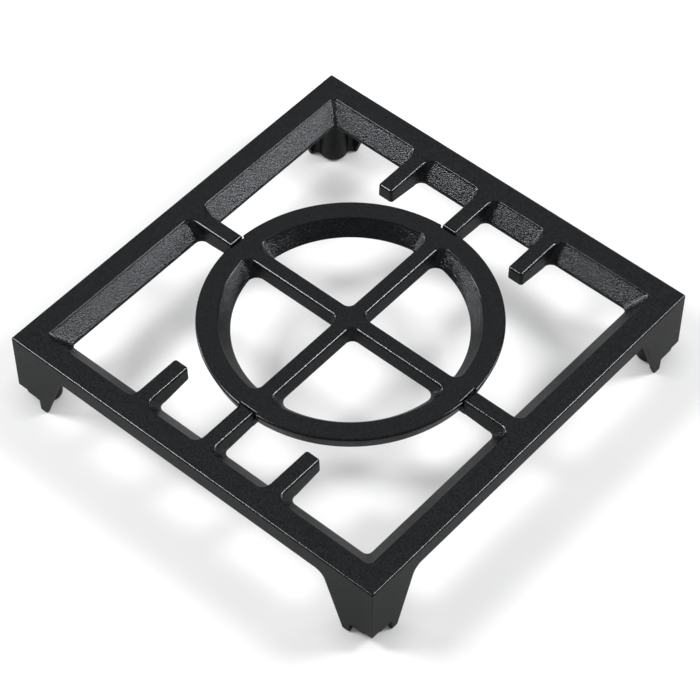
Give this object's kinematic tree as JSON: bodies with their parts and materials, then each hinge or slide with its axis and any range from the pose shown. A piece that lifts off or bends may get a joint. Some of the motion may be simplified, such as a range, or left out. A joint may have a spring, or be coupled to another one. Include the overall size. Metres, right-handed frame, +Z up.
{
  "type": "gas burner grate",
  "caption": "Square cast iron grate for a gas burner, on corner feet, with inward arms and fingers and a loose round centre ring with a cross.",
  "frame": {"origin": "centre of the footprint, on the surface the feet stand on", "axes": "+Z up to the pan; +Y along the fingers, from the front bar to the back bar; +X to the right"},
  "size_m": [0.235, 0.24, 0.045],
  "materials": {
    "frame_enamel": "satin black enamel with a fine grain",
    "ring_enamel": "satin black enamel with a fine grain"
  },
  "bodies": {
    "root": {"grate_frame": "frame_enamel", "center_ring": "ring_enamel"}
  },
  "joints": []
}
